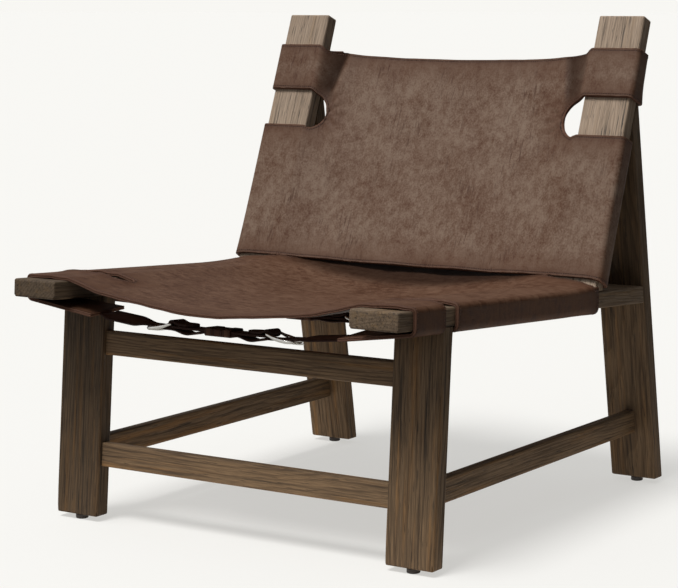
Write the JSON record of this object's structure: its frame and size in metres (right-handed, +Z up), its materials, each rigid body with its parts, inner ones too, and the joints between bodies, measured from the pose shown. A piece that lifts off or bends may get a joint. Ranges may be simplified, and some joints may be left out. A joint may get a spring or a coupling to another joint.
{
  "type": "sling lounge chair",
  "caption": "Low lounge chair with a raked wooden frame and a leather seat and back, each wrapped round its boards and tightened by buckled straps.",
  "frame": {"origin": "on the floor, in the middle of the chair's bounding box", "axes": "+Z up, the chair faces -Y, +X to the right as seen from the front"},
  "size_m": [0.7086, 0.8341, 0.784],
  "materials": {
    "oak": "wire-brushed, dark stained, dull",
    "seat_leather": "worn, suede-like",
    "back_leather": "worn, waxed",
    "strap_leather": "waxed, dark edges",
    "keeper_leather": "stitched",
    "buckle_metal": "polished nickel plating",
    "glides": "moulded"
  },
  "bodies": {
    "frame": {"front_leg_left": "oak", "rear_leg_left": "oak", "seat_rail_left": "oak", "back_post_left": "oak", "side_stretcher_left": "oak", "front_leg_right": "oak", "rear_leg_right": "oak", "seat_rail_right": "oak", "back_post_right": "oak", "side_stretcher_right": "oak", "front_stretcher_lower": "oak", "front_stretcher_upper": "oak", "rear_crossbar_lower": "oak", "rear_crossbar_upper": "oak", "glide_front_left": "glides", "glide_front_right": "glides", "glide_rear_left": "glides", "glide_rear_right": "glides", "seat_sling": "seat_leather", "back_sling": "back_leather", "front_centre_strap": "strap_leather", "front_billet_left": "strap_leather", "front_buckle_left": "buckle_metal", "front_billet_right": "strap_leather", "front_buckle_right": "buckle_metal", "seat_mid_centre_strap": "strap_leather", "seat_mid_billet_left": "strap_leather", "seat_mid_buckle_left": "buckle_metal", "seat_mid_billet_right": "strap_leather", "seat_mid_buckle_right": "buckle_metal", "seat_rear_centre_strap": "strap_leather", "seat_rear_billet_left": "strap_leather", "seat_rear_buckle_left": "buckle_metal", "seat_rear_billet_right": "strap_leather", "seat_rear_buckle_right": "buckle_metal", "back_main_centre_strap": "strap_leather", "back_main_billet_left": "strap_leather", "back_main_buckle_left": "buckle_metal", "back_main_billet_right": "strap_leather", "back_main_buckle_right": "buckle_metal", "back_top_centre_strap": "strap_leather", "back_top_billet_left": "strap_leather", "back_top_buckle_left": "buckle_metal", "back_top_billet_right": "strap_leather", "back_top_buckle_right": "buckle_metal", "front_centre_sleeve": "strap_leather", "front_keeper_left": "keeper_leather", "front_keeper_right": "keeper_leather"},
    "front_prong_left_body": {"front_prong_left": "buckle_metal"},
    "front_prong_right_body": {"front_prong_right": "buckle_metal"},
    "seat_mid_prong_left_body": {"seat_mid_prong_left": "buckle_metal"},
    "seat_mid_prong_right_body": {"seat_mid_prong_right": "buckle_metal"},
    "seat_rear_prong_left_body": {"seat_rear_prong_left": "buckle_metal"},
    "seat_rear_prong_right_body": {"seat_rear_prong_right": "buckle_metal"},
    "back_main_prong_left_body": {"back_main_prong_left": "buckle_metal"},
    "back_main_prong_right_body": {"back_main_prong_right": "buckle_metal"},
    "back_top_prong_left_body": {"back_top_prong_left": "buckle_metal"},
    "back_top_prong_right_body": {"back_top_prong_right": "buckle_metal"}
  },
  "joints": [
    {"name": "front_prong_left_hinge", "type": "hinge", "parent": "frame", "child": "front_prong_left_body", "pos_m": [-0.088, -0.34575, 0.33281], "axis": [0, -0.9979, 0.0654], "range_deg": [0, 100], "deforming": ["front_billet_left"]},
    {"name": "front_prong_right_hinge", "type": "hinge", "parent": "frame", "child": "front_prong_right_body", "pos_m": [0.088, -0.34575, 0.33281], "axis": [0, 0.9979, -0.0654], "range_deg": [0, 100], "deforming": ["front_billet_right"]},
    {"name": "seat_mid_prong_left_hinge", "type": "hinge", "parent": "frame", "child": "seat_mid_prong_left_body", "pos_m": [-0.088, -0.13747, 0.33169], "axis": [0, -0.9979, 0.0654], "range_deg": [0, 100], "deforming": ["seat_mid_billet_left"]},
    {"name": "seat_mid_prong_right_hinge", "type": "hinge", "parent": "frame", "child": "seat_mid_prong_right_body", "pos_m": [0.088, -0.13747, 0.33169], "axis": [0, 0.9979, -0.0654], "range_deg": [0, 100], "deforming": ["seat_mid_billet_right"]},
    {"name": "seat_rear_prong_left_hinge", "type": "hinge", "parent": "frame", "child": "seat_rear_prong_left_body", "pos_m": [-0.088, 0.0696, 0.31812], "axis": [0, -0.9979, 0.0654], "range_deg": [0, 100], "deforming": ["seat_rear_billet_left"]},
    {"name": "seat_rear_prong_right_hinge", "type": "hinge", "parent": "frame", "child": "seat_rear_prong_right_body", "pos_m": [0.088, 0.0696, 0.31812], "axis": [0, 0.9979, -0.0654], "range_deg": [0, 100], "deforming": ["seat_rear_billet_right"]},
    {"name": "back_main_prong_left_hinge", "type": "hinge", "parent": "frame", "child": "back_main_prong_left_body", "pos_m": [-0.088, 0.24624, 0.46871], "axis": [0, -0.3649, -0.9311], "range_deg": [0, 100], "deforming": ["back_main_billet_left"]},
    {"name": "back_main_prong_right_hinge", "type": "hinge", "parent": "frame", "child": "back_main_prong_right_body", "pos_m": [0.088, 0.24624, 0.46871], "axis": [0, 0.3649, 0.9311], "range_deg": [0, 100], "deforming": ["back_main_billet_right"]},
    {"name": "back_top_prong_left_hinge", "type": "hinge", "parent": "frame", "child": "back_top_prong_left_body", "pos_m": [-0.088, 0.33311, 0.67806], "axis": [0, -0.2625, -0.9649], "range_deg": [0, 100], "deforming": ["back_top_billet_left"]},
    {"name": "back_top_prong_right_hinge", "type": "hinge", "parent": "frame", "child": "back_top_prong_right_body", "pos_m": [0.088, 0.33311, 0.67806], "axis": [0, 0.2625, 0.9649], "range_deg": [0, 100], "deforming": ["back_top_billet_right"]}
  ]
}
